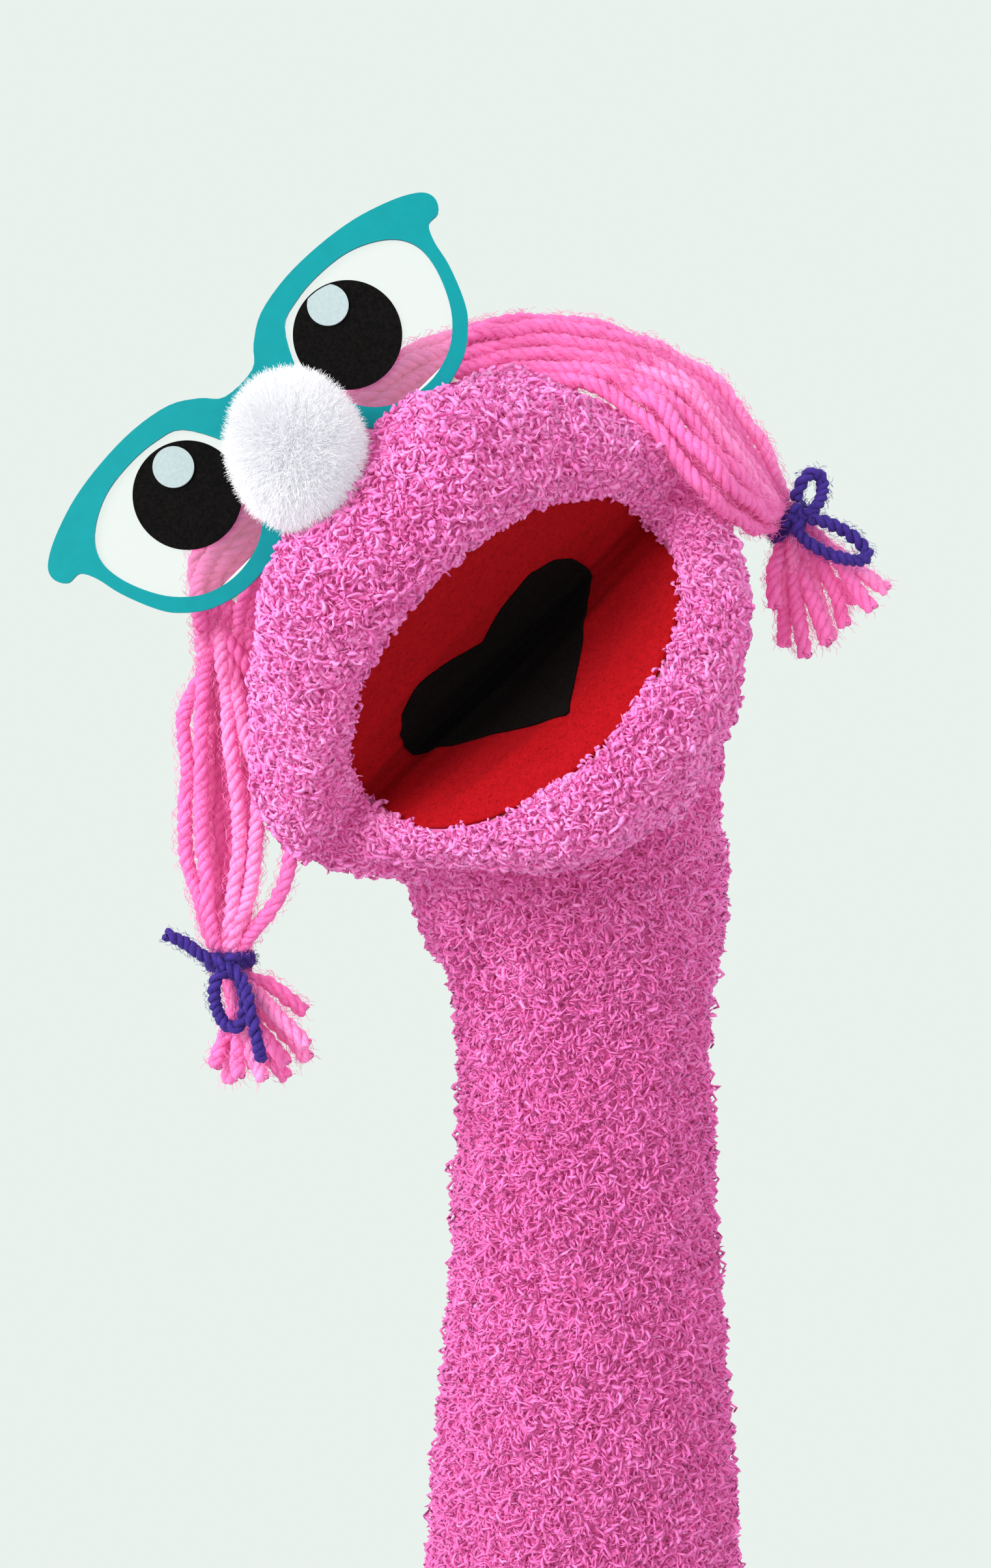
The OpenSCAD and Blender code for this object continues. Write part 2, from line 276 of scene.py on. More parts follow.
def film_material():
    """Clear film with a light haze and fine scuffs."""
    mat = new_material("clear_film", (0.97, 0.99, 1.0), 0.12, Alpha=0.04, Specular_IOR_Level=0.3)
    scuff = texture(mat, "Noise", 60, Detail=4)
    ramp(mat, scuff, [(0.4, grey(0.08)), (0.7, grey(0.28))], "Roughness")
    return mat


def card_material(name, colour, light):
    mat = new_material(name, colour, 0.9, Specular_IOR_Level=0.05)
    grain = texture(mat, "Noise", 1400, Detail=5)
    ramp(mat, grain, [(0.35, colour), (0.7, light)], "Base Color")
    bump(mat, grain, 0.25, 0.1)
    return mat


def glue_material(name, colour):
    mat = new_material(name, colour, 0.35, Subsurface_Weight=0.4, Subsurface_Scale=0.002)
    blobs = texture(mat, "Noise", 300)
    bump(mat, blobs, 0.3, 0.5)
    return mat


# The sock's skin is a deeper pink than its pile: painted shade for the gaps between the curls.
SKIN = skin_material("sock_knit", (0.58, 0.075, 0.27), (0.74, 0.16, 0.46), 260)
# The pile's pink emission is painted light: a glow that lifts the shade in the gaps between the curls.
PILE = fibre_shades("chenille", [(0.79, 0.215, 0.54), (0.83, 0.27, 0.60), (0.74, 0.17, 0.47),
                                 (0.85, 0.31, 0.635)], 0.9, 1500, Sheen_Weight=0.1,
                    Sheen_Tint=(1.0, 0.5, 0.8, 1), Specular_IOR_Level=0.06,
                    Emission_Color=(0.85, 0.13, 0.42, 1), Emission_Strength=0.17)
# The yarn's pink emission is painted light: a faint glow that lifts the shade in the strands.
YARN = fibre_shades("pink_yarn", [(0.88, 0.21, 0.51), (0.91, 0.27, 0.57), (0.83, 0.17, 0.46)], 0.8,
                    1800, Sheen_Weight=0.15, Sheen_Tint=(1.0, 0.6, 0.8, 1), Specular_IOR_Level=0.15,
                    Emission_Color=(0.95, 0.15, 0.45, 1), Emission_Strength=0.08)
TIE_YARN = fibre_shades("purple_yarn", [(0.045, 0.020, 0.22), (0.06, 0.03, 0.27)], 0.8, 1800,
                        Sheen_Weight=0.1, Sheen_Tint=(0.6, 0.5, 1.0, 1), Specular_IOR_Level=0.2)
# The fluff's white emission is painted light: a glow that lifts the shade between the pompom's fibres.
FLUFF = fibre_shades("white_fluff", [(0.91, 0.90, 0.93), (0.86, 0.85, 0.90), (0.94, 0.93, 0.95)],
                     0.8, 2000, Emission_Color=(0.95, 0.96, 1.0, 1), Emission_Strength=0.14,
                     Specular_IOR_Level=0.1)
RED_FELT = felt_material("red_felt", (0.28, 0.001, 0.004), (0.41, 0.004, 0.009), 0.04, (1, 0.1, 0.1))
BLACK_FELT = felt_material("black_felt", (0.002, 0.001, 0.001), (0.006, 0.004, 0.004), 0.0, (1, 1, 1))

# ---- meshes ----


def object_from(bm, name, *mats):
    """Turns a bmesh into an object, and frees it."""
    mesh = bpy.data.meshes.new(name)
    bm.to_mesh(mesh)
    bm.free()
    for mat in mats:
        mesh.materials.append(mat)
    return linked(name, mesh)


def edited_mesh(obj):
    """A bmesh of the object's own mesh, for changing it."""
    bm = bmesh.new()
    bm.from_mesh(obj.data)
    return bm


def put_back(bm, obj):
    bm.to_mesh(obj.data)
    bm.free()


def read_points(mesh):
    """A mesh's vertices, in millimetres."""
    co = np.empty(len(mesh.vertices) * 3, np.float32)
    mesh.vertices.foreach_get("co", co)
    return co.reshape(-1, 3) / MM


def write_points(mesh, points_mm):
    mesh.vertices.foreach_set("co", (points_mm * MM).astype(np.float32).ravel())
    mesh.update()


def make_mesh(name, points_mm, faces, mats, shades=None):
    """A mesh object from points in millimetres and rows of faces that all have the same size."""
    faces = np.asarray(faces, np.int32)
    mesh = bpy.data.meshes.new(name)
    mesh.vertices.add(len(points_mm))
    write_points(mesh, points_mm)
    count, sides = faces.shape
    mesh.loops.add(count * sides)
    mesh.loops.foreach_set("vertex_index", faces.ravel())
    mesh.polygons.add(count)
    mesh.polygons.foreach_set("loop_start", np.arange(count, dtype=np.int32) * sides)
    mesh.polygons.foreach_set("loop_total", np.full(count, sides, np.int32))
    for mat in mats:
        mesh.materials.append(mat)
    if shades is not None:
        mesh.polygons.foreach_set("material_index", np.asarray(shades, np.int32))
    mesh.update(calc_edges=True)
    mesh.validate()
    mesh.shade_smooth()
    return linked(name, mesh)


def apply_modifier(obj, kind, **settings):
    """Adds a modifier and bakes it into the object's own mesh."""
    modifier = obj.modifiers.new(kind, kind)
    for key, value in settings.items():
        setattr(modifier, key, value)
    graph = bpy.context.evaluated_depsgraph_get()
    mesh = bpy.data.meshes.new_from_object(obj.evaluated_get(graph))
    mats = list(obj.data.materials)
    obj.modifiers.clear()
    obj.data = mesh
    obj.data.materials.clear()
    for mat in mats:
        obj.data.materials.append(mat)


def angles_round(count):
    return np.linspace(0, 2 * math.pi, count, endpoint=False)


def normalised(v):
    return v / np.maximum(np.linalg.norm(v, axis=-1, keepdims=True), 1e-9)


def noise_field(points, scale, seed):
    """Smooth noise from -1 to 1 at points: a seeded sum of waves with a wavelength of about scale."""
    waves = 7
    local = np.random.default_rng(seed)
    total = np.zeros(len(points))
    for _ in range(waves):
        direction = local.normal(size=3)
        direction *= 2 * math.pi / scale / np.linalg.norm(direction) * local.uniform(0.6, 1.5)
        total += np.sin(points @ direction + local.uniform(0, 2 * math.pi))
    return total / math.sqrt(waves) / 1.3


def fibres(name, roots, directions, normals, length, radius, mats, segments, crimp, lift, seed,
           taper=0.5, shade_at=None, curl=0.0):
    """Short fibres as three-sided tubes. Each starts at its root, runs along its direction, rises
    along the normal by lift of its length in an arch, waves sideways by crimp of its length, and
    bends round in the surface by up to curl radians from end to end."""
    local = np.random.default_rng(seed)
    n = len(roots)
    directions = normalised(directions)
    side = normalised(np.cross(normals, directions))
    length = np.broadcast_to(length, n)[:, None]
    radius = np.broadcast_to(radius, n)[:, None]
    phase = local.uniform(0, 2 * math.pi, (n, 1))
    rate = local.uniform(0.7, 1.5, (n, 1)) * math.pi * 1.6
    sway = crimp * local.uniform(0.5, 1.2, (n, 1))
    turn = curl * local.uniform(0.45, 1.0, (n, 1)) * local.choice([-1, 1], (n, 1)) + 1e-3
    rings = []
    for k in range(segments + 1):
        t = k / segments
        ahead = length * np.sin(turn * t) / turn
        beside = length * ((1 - np.cos(turn * t)) / turn + sway * (np.sin(rate * t + phase) - np.sin(phase)))
        centre = (roots + directions * ahead + side * beside
                  + normals * length * lift * math.sin(math.pi * 0.75 * t))
        r = radius * (1 - (1 - taper) * t) * (0.75 if k == 0 else 1)
        for j in range(3):
            a = 2 * math.pi * j / 3
            rings.append(centre + r * (math.cos(a) * side + math.sin(a) * normals))
    points = np.stack(rings, 1).reshape(-1, 3)
    quads = []
    for k in range(segments):
        for j in range(3):
            a, b = 3 * k + j, 3 * k + (j + 1) % 3
            quads.append((a, b, b + 3, a + 3))
    faces = (np.arange(n)[:, None, None] * 3 * (segments + 1) + np.array(quads)[None]).reshape(-1, 4)
    if shade_at is None:
        shade_at = local.integers(0, len(mats), n)
    return make_mesh(name, points, faces, mats, np.repeat(shade_at, len(quads)))


def scatter(obj, count, seed, keep=None):
    """Random points on a mesh, spread evenly by area, with their normals, in millimetres."""
    local = np.random.default_rng(seed)
    mesh = obj.data
    mesh.calc_loop_triangles()
    tris = np.empty(len(mesh.loop_triangles) * 3, np.int32)
    mesh.loop_triangles.foreach_get("vertices", tris)
    co = read_points(mesh)
    a, b, c = (co[corner] for corner in tris.reshape(-1, 3).T)
    cross = np.cross(b - a, c - a)
    area = np.linalg.norm(cross, axis=1)
    if keep is not None:
        area = area * keep((a + b + c) / 3, normalised(cross))
    pick = local.choice(len(area), count, p=area / area.sum())
    r1, r2 = np.sqrt(local.uniform(size=(count, 1))), local.uniform(size=(count, 1))
    points = (1 - r1) * a[pick] + r1 * (1 - r2) * b[pick] + r1 * r2 * c[pick]
    return points, normalised(cross)[pick]


def tangents(normals, seed):
    """Random directions in the surface."""
    d = np.random.default_rng(seed).normal(size=normals.shape)
    return normalised(d - normals * np.sum(d * normals, axis=1, keepdims=True))


# ---- the sock's skin ----


def ball_points(centre, radius):
    """Points over a ball, even enough to hull."""
    i = np.arange(220) + 0.5
    up = 1 - 2 * i / 220
    round_ = math.pi * (1 + math.sqrt(5)) * i
    flat = np.sqrt(1 - up * up)
    return np.asarray(centre) + radius * np.column_stack([flat * np.cos(round_), flat * np.sin(round_), up])


def new_verts(bm, points_mm):
    return [bm.verts.new(Vector(p) * MM) for p in points_mm]


def hull_of(points, bm):
    """Adds the convex hull of points to a bmesh."""
    verts = new_verts(bm, points)
    found = bmesh.ops.convex_hull(bm, input=verts)
    spare = [v for v in found["geom_interior"] + found["geom_unused"] if isinstance(v, bmesh.types.BMVert)]
    bmesh.ops.delete(bm, geom=list(set(spare)), context="VERTS")


def solid_from(name, hulls):
    """One object that holds the hull of each group of (centre, radius) balls, in the head's axes."""
    bm = bmesh.new()
    for balls in hulls:
        hull_of(np.vstack([from_head(ball_points(c, r)) for c, r in balls]), bm)
    return object_from(bm, name)


def closed_tube(bm, loops):
    """Joins loops of vertices with bands of faces, and closes both ends."""
    for low, high in zip(loops, loops[1:]):
        for i, after in enumerate([*range(1, len(low)), 0]):
            bm.faces.new((low[i], low[after], high[after], high[i]))
    bm.faces.new(loops[0][::-1])
    bm.faces.new(loops[-1])


def turned_solid(bm, profile, sides=64):
    """A closed solid of revolution about Z from (radius, height) pairs."""
    closed_tube(bm, [new_verts(bm, [(r * math.cos(a), r * math.sin(a), z) for a in angles_round(sides)])
                     for r, z in profile])


def cut_away(obj, point, normal, fill=True):
    """Cuts the object by a plane, in millimetres, and keeps the side that the normal points away from."""
    bm = edited_mesh(obj)
    cut = bmesh.ops.bisect_plane(bm, geom=bm.verts[:] + bm.edges[:] + bm.faces[:],
                                 plane_co=Vector(point) * MM, plane_no=Vector(normal), clear_outer=True)
    if fill:
        edges = [e for e in cut["geom_cut"] if isinstance(e, bmesh.types.BMEdge)]
        bmesh.ops.holes_fill(bm, edges=edges)
    put_back(bm, obj)


def subtract(obj, other):
    apply_modifier(obj, "BOOLEAN", operation="DIFFERENCE", object=other, solver="EXACT")
    bpy.data.objects.remove(other)


def crease_wedge(a, b):
    """A solid wedge with its edge on the crease, between two angles: 0 is straight ahead, + is up."""
    reach, half_width, steps = 150, 120, 8
    bm = bmesh.new()
    angles = [a + (b - a) * i / steps for i in range(steps + 1)]
    outline = [(0, 0)] + [(-reach * math.cos(c), reach * math.sin(c)) for c in angles]
    closed_tube(bm, [new_verts(bm, from_head([(x, y, v) for y, v in outline]))
                     for x in (-half_width, half_width)])
    bmesh.ops.recalc_face_normals(bm, faces=bm.faces)
    return object_from(bm, "wedge")


def remesh(obj, voxel):
    apply_modifier(obj, "REMESH", mode="VOXEL", voxel_size=voxel * MM, use_smooth_shade=True)


def knit_over(obj, voxel, rounds, ripple, seed):
    """Makes one even surface of a rough solid, rounds it off and gives it soft bulges."""
    remesh(obj, voxel)
    apply_modifier(obj, "SMOOTH", factor=0.5, iterations=rounds)
    co = read_points(obj.data)
    no = np.array([v.normal for v in obj.data.vertices])
    swell = ripple * noise_field(co, 26, seed) + 0.35 * ripple * noise_field(co, 9, seed + 1)
    write_points(obj.data, co + no * swell[:, None])


def on_palate(p, angle, inset=0.0):
    """For points in the head's axes: how far out from the crease along a palate, how far in front
    of its face, and how far towards the felt's edge, which is at 1."""
    side = 1 if angle == LOWER_ANGLE else -1
    out = -p[:, 1] * math.cos(angle) + p[:, 2] * math.sin(angle)
    ahead = side * math.sin(angle) * p[:, 1] + side * math.cos(angle) * p[:, 2]
    return out, ahead, np.hypot(p[:, 0] / (MOUTH_HALF_W - inset), out / (MOUTH_DEPTH - inset))


def tucked_mouth(obj, angle):
    """Sinks the skin behind the mouth's lining, so that only the lips stand round it."""
    p = to_head(np.array([v.co for v in obj.data.vertices]) / MM)
    out, ahead, edge = on_palate(p, angle)
    inside = np.clip((1.0 - edge) / 0.07, 0, 1) * (out > -3) * (np.abs(ahead) < 9)
    side = 1 if angle == LOWER_ANGLE else -1
    shift = (np.minimum(ahead, -SUNK_BEHIND_FELT) - ahead) * inside
    p[:, 1] += shift * side * math.sin(angle)
    p[:, 2] += shift * side * math.cos(angle)
    write_points(obj.data, from_head(p))


MOUTH_HALF_W = 55
MOUTH_DEPTH = 60
SUNK_BEHIND_FELT = 4.2
# Balls (centre, radius) in the head's axes. The skin is the smoothed hull of groups of them.
CHEEKS = [((-53, 1, 8), 25.5), ((50, 2, 5), 25.5)]
CROWN = [((-31, -14, 31), 21.5), ((36, -14, 34), 25.2)]
SNOUT = [((-21, -46, 42), 16.5), ((22, -46, 44.5), 16.8), ((-20, -53, 35), 10.5), ((20, -53, 35), 10.5),
         ((-46, -27, 22), 12), ((47, -27, 23), 12.5)]
PALM = [((-4, 34, -4), 42.5)]
WRIST_BALL = [(to_head((-7, 0, 288))[0], 43.5), (to_head((4, -8, 322))[0], 35.5)]
NAPE = [(to_head((-8, 0, 313))[0], 30)]
THROAT = ((6, 2, -46), 16.5)
CHIN = [((-16, -39, -41), 11.8), ((16, -39, -41), 11.8)]
# On each side of the jaw: beside the chin, in the mouth's corner and under the jaw.
JAW_SIDES = ((((-41, -21, -23), 8), ((-57, 5, -5), 9.8), ((-20, -17, -39), 13)),
             (((44, -18, -28), 12.5), ((57.5, 4, -10), 13.3), ((25, -15, -41), 12.6)))
# The sleeve: balls measured from the wrist, and (radius, height) pairs below them.
SLEEVE_TOP = [((0.5, 0, -6), 41), ((-1, 0, -32), 38), ((0, 0, -55), 34)]
SLEEVE_PROFILE = [(43.2, 26), (43.2, CUFF_H), (45, 68), (43.4, 98), (40.3, 135), (37.1, 178), (35, 232),
                  (36.5, 292)]


def head_and_sleeve():
    """The sock from its cuff to the upper lip, as one closed solid."""
    obj = solid_from("sock", [CHEEKS + CROWN + PALM, CHEEKS + CROWN + SNOUT, PALM + WRIST_BALL,
                              CHEEKS + NAPE])
    remesh(obj, 2)
    subtract(obj, crease_wedge(UPPER_ANGLE, math.radians(-125)))
    bm = edited_mesh(obj)
    turned_solid(bm, SLEEVE_PROFILE)
    hull_of(np.vstack([WRIST + ball_points(centre, radius) for centre, radius in SLEEVE_TOP]), bm)
    put_back(bm, obj)
    knit_over(obj, 2.2, 9, 0.9, 3)
    tucked_mouth(obj, UPPER_ANGLE)
    return obj


def jaw_solid():
    """The lower lip, the chin and the throat that runs back into the neck."""
    hulls = []
    for chin, (side, corner, under) in zip(CHIN, JAW_SIDES):
        hulls += [[chin, side, under, THROAT], [side, corner, under, THROAT]]
    hulls.append(CHIN)
    obj = solid_from("jaw", hulls)
    remesh(obj, 2)
    normal = (from_head([(0, math.sin(LOWER_ANGLE) * -1, math.cos(LOWER_ANGLE))]) - CREASE)[0]
    cut_away(obj, CREASE, normal)
    knit_over(obj, 2.2, 7, 0.8, 5)
    tucked_mouth(obj, LOWER_ANGLE)
    return obj


def part_beyond(obj, point, normal, name):
    """A copy of the object's surface on the side that the normal points away from, left open there."""
    copy = linked(name, obj.data.copy())
    cut_away(copy, point, normal, fill=False)
    return copy


def lined(obj, thickness):
    """Gives an open skin its thickness, inwards."""
    apply_modifier(obj, "SOLIDIFY", thickness=thickness * MM, offset=-1, use_rim=True)
    obj.data.shade_smooth()


sock = head_and_sleeve()
sleeve_skin = part_beyond(sock, WRIST, HALF_LEAN, "sock_sleeve_skin")
cut_away(sleeve_skin, (0, 0, CUFF_H - 4), (0, 0, -1), fill=False)
head_skin = part_beyond(sock, WRIST, -HALF_LEAN, "sock_head_skin")
jaw_skin = jaw_solid()
jaw_skin.name = "sock_jaw_skin"
bpy.data.objects.remove(sock)
for skin in (sleeve_skin, head_skin, jaw_skin):
    skin.data.materials.append(SKIN)

# ---- the sock's pile ----


def outside_mouth(points, normals):
    """How thick the pile stands: 1 on the sock, up to 2 at the lips, 0 behind the mouth's lining."""
    keep = np.ones(len(points))
    for angle in (UPPER_ANGLE, LOWER_ANGLE):
        out, ahead, edge = on_palate(to_head(points), angle, inset=0.5)
        keep[(edge < 1) & (out > -4) & (np.abs(ahead) < 7)] = 0
    return keep * (1 + lip_nearness(points))


def lip_nearness(points):
    """1 on the edge of the felt, falling to 0 a few millimetres from it."""
    near = np.zeros(len(points))
    for angle in (UPPER_ANGLE, LOWER_ANGLE):
        out, ahead, edge = on_palate(to_head(points), angle)
        here = np.clip(1 - np.abs(edge - 1) * MOUTH_DEPTH / 6, 0, 1) * np.clip(1 - np.abs(ahead) / 6, 0, 1)
        near = np.maximum(near, here * (out > -4))
    return near


def curls(name, skin, count, seed, length, radius, keep, crimp=0.1, lift=0.36, segments=5, curl=4.2):
    """One piece of crimped pile over a skin."""
    local = np.random.default_rng(seed)
    points, normals = scatter(skin, count, seed, keep)
    directions = tangents(normals, seed + 1)
    # Below the wrist the pile takes its darker shades more often: painted shade on the lower sleeve, added
    # to the random tone.
    painted_shade_below_wrist = np.clip((WRIST[2] - points[:, 2]) / 60, 0, 1)
    tone_and_painted_shade = noise_field(points, 18, 77) * 0.5 + local.normal(0, 0.75, count) - 1.4 * painted_shade_below_wrist
    shade = np.select([tone_and_painted_shade < -0.65, tone_and_painted_shade < 0.05, tone_and_painted_shade < 0.85], [2, 0, 1], 3)
    lengths = length * local.uniform(0.6, 1.35, count) * (1 - 0.5 * lip_nearness(points))
    return fibres(name, points - normals * 0.4, directions, normals, lengths,
                  radius * local.uniform(0.75, 1.25, count), PILE, segments, crimp,
                  lift * local.uniform(0.4, 1.6, (count, 1)), seed + 2, 0.6, shade, curl)


def outside_sleeve(points, normals):
    """Pile stands only where the sleeve's skin faces away from the arm."""
    outward = np.sum(normals * (points - WRIST) * np.array([1, 1, 0]), axis=1)
    return np.where(outward > 0, 1.0, 0.0)


def pile_of(skin, name, pieces, count, **settings):
    """Several pieces of pile, so that none has too many triangles. The seed comes from the name."""
    return [curls(f"{name}_{i + 1}", skin, count, 100 * len(name) + 10 * i, **settings)
            for i in range(pieces)]


head_pile = pile_of(head_skin, "head_pile", 5, 5900, length=5.2, radius=0.92, keep=outside_mouth)
head_pile += pile_of(head_skin, "head_undercoat", 2, 9000, length=3.4, radius=0.6, keep=outside_mouth,
                     segments=2, lift=0.3, curl=2.2)
jaw_pile = pile_of(jaw_skin, "jaw_pile", 2, 5900, length=5.0, radius=0.92, keep=outside_mouth)
sleeve_pile = pile_of(sleeve_skin, "sleeve_pile", 4, 9600, length=4.2, radius=0.72, keep=outside_sleeve,
                      segments=3, crimp=0.08, lift=0.62, curl=2.4)
sleeve_pile += pile_of(sleeve_skin, "sleeve_undercoat", 2, 9000, length=3.4, radius=0.8, keep=outside_sleeve,
                       segments=2, lift=0.35, curl=2.2)

for skin in (sleeve_skin, head_skin, jaw_skin):
    lined(skin, 2.2)

for piece in [sleeve_skin, *sleeve_pile]:
    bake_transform(piece)
for piece in [head_skin, *head_pile]:
    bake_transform(piece)
for piece in [jaw_skin, *jaw_pile]:
    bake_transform(piece)
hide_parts("sock_sleeve")
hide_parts("sock_head", "sock_wrist")
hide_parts("sock_jaw")

# ---- the mouth ----

CREASE_SOFT = 2.5


def folded(u, t, back):
    """A flat point, u across and t out from the crease (+ on the upper palate), folded at the
    crease and moved back from the palate's face."""
    turn = np.clip(t / (2 * CREASE_SOFT), -1, 1)
    turn = 0.5 + 0.25 * (3 * turn - turn ** 3)
    angle = LOWER_ANGLE + (UPPER_ANGLE - LOWER_ANGLE) * turn
    out = np.sqrt(t * t + CREASE_SOFT ** 2) - CREASE_SOFT
    face = angle + math.pi / 2
    side = 2 * turn - 1
    y = -out * np.cos(angle) - back * side * np.cos(face)
    v = out * np.sin(angle) + back * side * np.sin(face)
    y = y + back * (1 - np.abs(side)) * 1.2
    return from_head(np.column_stack([u, y, v]))


def mouth_wrinkles(u, t):
    """Soft folds that run along the crease and fade towards the lips."""
    waves = 0.0
    for at, width, height, wander in ((9, 1.8, 1.3, 2.5), (17, 2.4, 1.0, 4), (27, 2.8, 1.0, 5),
                                      (-8, 1.8, 1.2, 2), (-19, 2.6, 1.0, 4), (-33, 2.8, 0.9, 5)):
        line = at + wander * np.sin(u / 23 + at)
        waves = waves + height * np.exp(-((t - line) / width) ** 2) * (0.6 + 0.4 * np.sin(u / 15 + at * 2))
    pinch = 1.6 * np.exp(-(t / 4) ** 2) * np.clip((np.abs(u) - 34) / 18, 0, 1)
    return 1.35 * waves - pinch


def mouth_lining():
    """The red felt oval, folded at the crease, a sheet with thickness."""
    rings, sides = 44, 132
    a = angles_round(sides)
    q = np.concatenate([[0], np.linspace(1 / rings, 1, rings)])
    u = np.concatenate([[0], (q[1:, None] * MOUTH_HALF_W * np.cos(a)).ravel()])
    t = np.concatenate([[0], (q[1:, None] * MOUTH_DEPTH * np.sin(a)).ravel()])
    edge = np.hypot(u / MOUTH_HALF_W, t / MOUTH_DEPTH)
    back = 1.5 - 0.8 * mouth_wrinkles(u, t) * np.clip((1 - edge) * 6, 0, 1)
    bm = bmesh.new()
    verts = new_verts(bm, folded(u, t, back))
    loops = [verts[1 + r * sides:1 + (r + 1) * sides] for r in range(rings)]
    for i in range(sides):
        bm.faces.new((verts[0], loops[0][i], loops[0][(i + 1) % sides]))
    for low, high in zip(loops, loops[1:]):
        for i in range(sides):
            bm.faces.new((low[i], high[i], high[(i + 1) % sides], low[(i + 1) % sides]))
    obj = object_from(bm, "mouth_lining", RED_FELT)
    apply_modifier(obj, "SOLIDIFY", thickness=1.2 * MM, offset=0)
    obj.data.shade_smooth()
    return obj


HEART_OUTER = ([-41, -28, -14, -1.5, 1.5, 8, 16, 23, 28], [0.3, 12, 24.5, 35, 35.4, 35.4, 33.6, 29, 20.5])
HEART_INNER = ([19, 25, 28], [0, 10, 21.8])
HEART_ASIDE = -1.8


def mouth_heart():
    """The black felt heart, glued across the crease with its point on the lower palate."""
    rows, columns = 60, 26
    tip, top = HEART_OUTER[0][0], HEART_OUTER[0][-1]
    t_rows = np.linspace(tip, top, rows)
    outer = np.interp(t_rows, *HEART_OUTER)
    inner = np.interp(t_rows, *HEART_INNER)
    bm = bmesh.new()
    for s in (-1, 1):
        grid = []
        for t, far, near in zip(t_rows, outer, inner):
            u = s * np.linspace(near, max(far, near + 0.2), columns)
            line = np.full(columns, t) + 0.4 * np.sin(u / 4)
            back = 0.5 - 0.8 * mouth_wrinkles(u, line)
            aside = HEART_ASIDE * (1 - min(max(t / tip, 0), 1))
            grid.append(new_verts(bm, folded(u + aside, line, back)))
        for low, high in zip(grid, grid[1:]):
            for k in range(columns - 1):
                quad = (low[k], low[k + 1], high[k + 1], high[k])
                bm.faces.new(quad if s > 0 else quad[::-1])
    bmesh.ops.remove_doubles(bm, verts=bm.verts, dist=0.05 * MM)
    bmesh.ops.recalc_face_normals(bm, faces=bm.faces)
    obj = object_from(bm, "mouth_heart", BLACK_FELT)
    apply_modifier(obj, "SMOOTH", factor=0.5, iterations=2)
    apply_modifier(obj, "SOLIDIFY", thickness=0.9 * MM, offset=0)
    obj.data.shade_smooth()
    return obj


def nap(name, felt, count, mat, seed):
    """Loose surface fibres on felt."""
    length, radius = 0.9, 0.05
    points, normals = scatter(felt, count, seed)
    directions = tangents(normals, seed + 1)
    return fibres(name, points, directions, normals, length, radius, [mat], segments=2, crimp=0.2,
                  lift=0.35, seed=seed)


def follow_jaw_from_crease(obj):
    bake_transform(obj)


lining = mouth_lining()
heart = mouth_heart()
lining_nap = nap("mouth_lining_nap", lining, 7000, RED_FELT, 31)
heart_nap = nap("mouth_heart_nap", heart, 3500, BLACK_FELT, 32)
for piece in (lining, lining_nap):
    follow_jaw_from_crease(piece)
for piece in (heart, heart_nap):
    follow_jaw_from_crease(piece)
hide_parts("mouth_felt_upper", "mouth_felt_lower")
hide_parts("heart_upper", "heart_lower")

# ---- the pompom nose ----

NOSE_R = 17.6
NOSE_SHAPE = np.array([0.93, 1.0, 1.19])
NOSE_LEAN = math.radians(14)
NOSE_TURN = np.array([[math.cos(NOSE_LEAN), 0, -math.sin(NOSE_LEAN)], [0, 1, 0],
                      [math.sin(NOSE_LEAN), 0, math.cos(NOSE_LEAN)]])
NOSE_MIDDLE = NOSE + (0.5, 0, -1.5)


def pompom_core():
    """The tied middle of the pompom, uneven where the fibres bunch."""
    bm = bmesh.new()
    bmesh.ops.create_icosphere(bm, subdivisions=5, radius=1)
    unit = np.array([v.co for v in bm.verts])
    radius = NOSE_R * (0.66 + 0.05 * noise_field(unit * 20, 12, 41))
    for vert, place in zip(bm.verts, NOSE_MIDDLE + (unit * radius[:, None] * NOSE_SHAPE) @ NOSE_TURN.T):
        vert.co = Vector(place) * MM
    obj = object_from(bm, "nose_core", FLUFF[0])
    obj.data.shade_smooth()
    return obj


def pompom_fibres(name, core, count, seed, reach, radius):
    """Fibres from the core out to a trimmed ball, leaning in soft clumps."""
    local = np.random.default_rng(seed)
    points, _ = scatter(core, count, seed)
    outward = normalised(points - NOSE_MIDDLE)
    lean = np.column_stack([noise_field(points, 16, seed + k) for k in range(3)])
    directions = normalised(outward + 0.2 * lean + 0.2 * local.normal(size=outward.shape))
    out = np.linalg.norm((points - NOSE_MIDDLE) @ NOSE_TURN / NOSE_SHAPE, axis=1)
    length = (reach - out) * local.uniform(0.8, 1.06, count)
    side = tangents(directions, seed + 5)
    shade = np.where(local.uniform(size=count) < 0.3, 1, np.where(local.uniform(size=count) < 0.5, 0, 2))
    return fibres(name, points, directions, side, length, radius, FLUFF, segments=3, crimp=0.12,
                  lift=0.12, taper=0.4, seed=seed + 9, shade_at=shade)


nose_core = pompom_core()
nose_fluff = [pompom_fibres(f"nose_fluff_{i + 1}", nose_core, 9500, seed, NOSE_R + past, radius)
              for i, (seed, past, radius) in enumerate([(51, 0.4, 0.17), (61, 1.2, 0.11), (67, 2.2, 0.07),
                                                        (73, 1.6, 0.09)])]
for piece in [nose_core, *nose_fluff]:
    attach(piece, "head")
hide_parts("nose_pompom")

# ---- yarn ----


def distance_along(path):
    return np.concatenate([[0], np.cumsum(np.linalg.norm(np.diff(path, axis=0), axis=1))])


